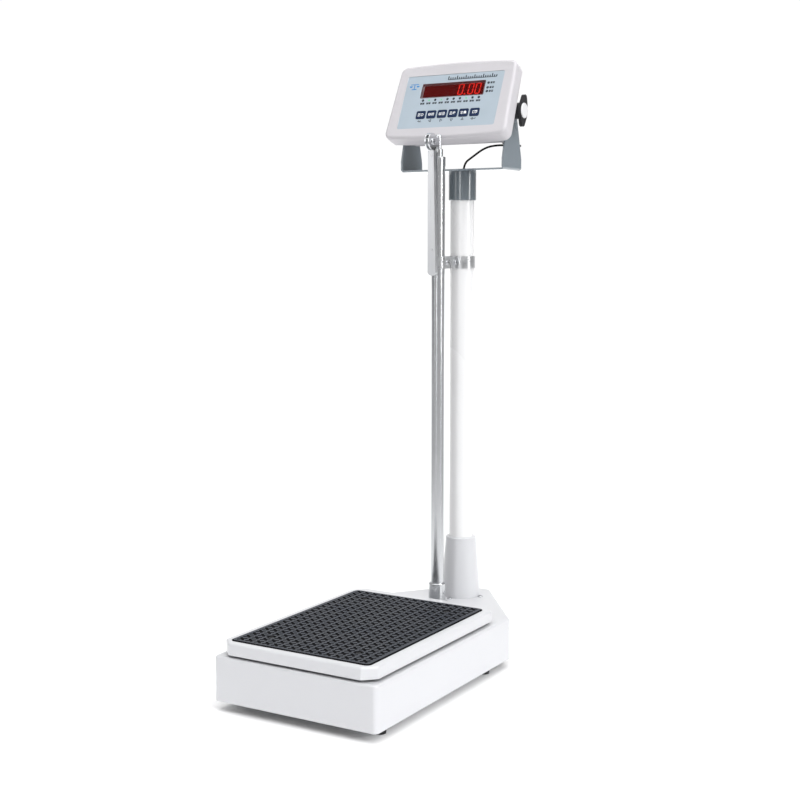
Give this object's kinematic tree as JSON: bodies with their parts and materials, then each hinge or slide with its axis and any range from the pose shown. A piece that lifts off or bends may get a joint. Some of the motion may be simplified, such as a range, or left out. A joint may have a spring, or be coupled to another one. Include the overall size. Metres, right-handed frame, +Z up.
{
  "type": "physician scale with height rod",
  "caption": "Tall personal weighing and height scale: flat platform base, rear column with a tilting digital indicator, and a folding arm on a telescopic height rod.",
  "frame": {"origin": "on the floor under the middle of the base", "axes": "+Z up; -Y towards the person standing on the platform and the indicator's face; +X to the right as seen from the front"},
  "size_m": [0.28, 0.554, 0.9769],
  "materials": {
    "gloss_white_paint": "gloss",
    "grey_paint": "semi-gloss",
    "frame_zinc": "satin",
    "cell_aluminium": "machined",
    "screw_steel": "bright",
    "black_rubber": "matte",
    "mat_rubber": "semi-gloss",
    "rod_aluminium": "satin",
    "bright_metal": "polished",
    "zinc_strap": "bright",
    "arm_aluminium": "satin",
    "shell_plastic": "satin",
    "panel_film": "satin",
    "window_red": "gloss",
    "module_black": "matte",
    "led_green": "gloss",
    "board_green": "matte",
    "battery_grey": "matte",
    "key_navy": "satin",
    "knob_black": "satin",
    "cap_pale": "polished",
    "cable_black": "matte"
  },
  "bodies": {
    "frame": {"base_housing": "gloss_white_paint", "base_frame": "frame_zinc", "load_cell": "cell_aluminium", "load_cell_bolts": "screw_steel", "rubber_foot_front_left": "black_rubber", "rubber_foot_front_right": "black_rubber", "rubber_foot_rear_left": "black_rubber", "rubber_foot_rear_right": "black_rubber", "foot_screws": "screw_steel", "column_socket": "gloss_white_paint", "column_base_screws": "screw_steel", "column_tube": "gloss_white_paint", "column_collar": "grey_paint", "indicator_bracket": "grey_paint", "bracket_screws": "screw_steel", "cable_grommet": "black_rubber", "rod_socket": "bright_metal", "rod_socket_screw": "screw_steel", "outer_rod_tube": "rod_aluminium", "outer_rod_collar": "bright_metal", "clamp_strap_left": "zinc_strap", "clamp_strap_right": "zinc_strap", "clamp_fasteners": "screw_steel", "signal_cable": "cable_black"},
    "platform": {"platform_tray": "gloss_white_paint", "platform_spider": "frame_zinc", "rubber_mat": "mat_rubber", "platform_screws": "screw_steel", "spider_bolts": "screw_steel"},
    "middle_rod": {"middle_rod_tube": "rod_aluminium", "middle_rod_collar": "bright_metal", "middle_rod_guide": "module_black"},
    "inner_rod": {"inner_rod_tube": "rod_aluminium", "inner_rod_guide": "module_black", "rod_head": "bright_metal", "arm_pivot_screw": "screw_steel"},
    "arm": {"measuring_arm": "arm_aluminium", "arm_tongue": "zinc_strap", "arm_rivets": "arm_aluminium"},
    "indicator": {"indicator_front_shell": "shell_plastic", "indicator_rear_shell": "shell_plastic", "membrane_panel": "panel_film", "display_window": "window_red", "display_module": "module_black", "status_leds": "led_green", "main_board": "board_green", "battery": "battery_grey", "shell_screws": "screw_steel", "cable_gland": "knob_black", "pivot_washers": "black_rubber"},
    "knob_left": {"knob_left": "knob_black", "knob_screw_left": "cap_pale"},
    "knob_right": {"knob_right": "knob_black", "knob_screw_right": "cap_pale"},
    "key_1": {"key_1": "key_navy"},
    "key_2": {"key_2": "key_navy"},
    "key_3": {"key_3": "key_navy"},
    "key_4": {"key_4": "key_navy"},
    "key_5": {"key_5": "key_navy"},
    "key_6": {"key_6": "key_navy"}
  },
  "joints": [
    {"name": "platform_travel", "type": "slide", "parent": "frame", "child": "platform", "axis": [0, 0, -1], "range_m": [0, 0.001], "stiffness_N_per_m": 200000, "springref_m": -0.0004, "deforming": ["load_cell"]},
    {"name": "middle_rod_slide", "type": "slide", "parent": "frame", "child": "middle_rod", "axis": [0, 0, 1], "range_m": [0, 0.6]},
    {"name": "inner_rod_slide", "type": "slide", "parent": "middle_rod", "child": "inner_rod", "axis": [0, 0, 1], "range_m": [0, 0.6]},
    {"name": "arm_fold", "type": "hinge", "parent": "inner_rod", "child": "arm", "pos_m": [0, 0.1145, 0.843], "axis": [-1, 0, 0], "range_deg": [0, 90]},
    {"name": "indicator_tilt", "type": "hinge", "parent": "frame", "child": "indicator", "pos_m": [0, 0.214, 0.894], "axis": [1, 0, 0], "range_deg": [-35, 8], "deforming": ["signal_cable"]},
    {"name": "knob_left_turn", "type": "hinge", "parent": "indicator", "child": "knob_left", "pos_m": [-0.1, 0.214, 0.894], "axis": [-1, 0, 0], "continuous": true},
    {"name": "knob_right_turn", "type": "hinge", "parent": "indicator", "child": "knob_right", "pos_m": [0.1, 0.214, 0.894], "axis": [1, 0, 0], "continuous": true},
    {"name": "key_1_press", "type": "slide", "parent": "indicator", "child": "key_1", "axis": [0, 0.9128, -0.4083], "range_m": [0, 0.0005], "stiffness_N_per_m": 1000, "springref_m": -0.0001},
    {"name": "key_2_press", "type": "slide", "parent": "indicator", "child": "key_2", "axis": [0, 0.9128, -0.4083], "range_m": [0, 0.0005], "stiffness_N_per_m": 1000, "springref_m": -0.0001},
    {"name": "key_3_press", "type": "slide", "parent": "indicator", "child": "key_3", "axis": [0, 0.9128, -0.4083], "range_m": [0, 0.0005], "stiffness_N_per_m": 1000, "springref_m": -0.0001},
    {"name": "key_4_press", "type": "slide", "parent": "indicator", "child": "key_4", "axis": [0, 0.9128, -0.4083], "range_m": [0, 0.0005], "stiffness_N_per_m": 1000, "springref_m": -0.0001},
    {"name": "key_5_press", "type": "slide", "parent": "indicator", "child": "key_5", "axis": [0, 0.9128, -0.4083], "range_m": [0, 0.0005], "stiffness_N_per_m": 1000, "springref_m": -0.0001},
    {"name": "key_6_press", "type": "slide", "parent": "indicator", "child": "key_6", "axis": [0, 0.9128, -0.4083], "range_m": [0, 0.0005], "stiffness_N_per_m": 1000, "springref_m": -0.0001}
  ]
}
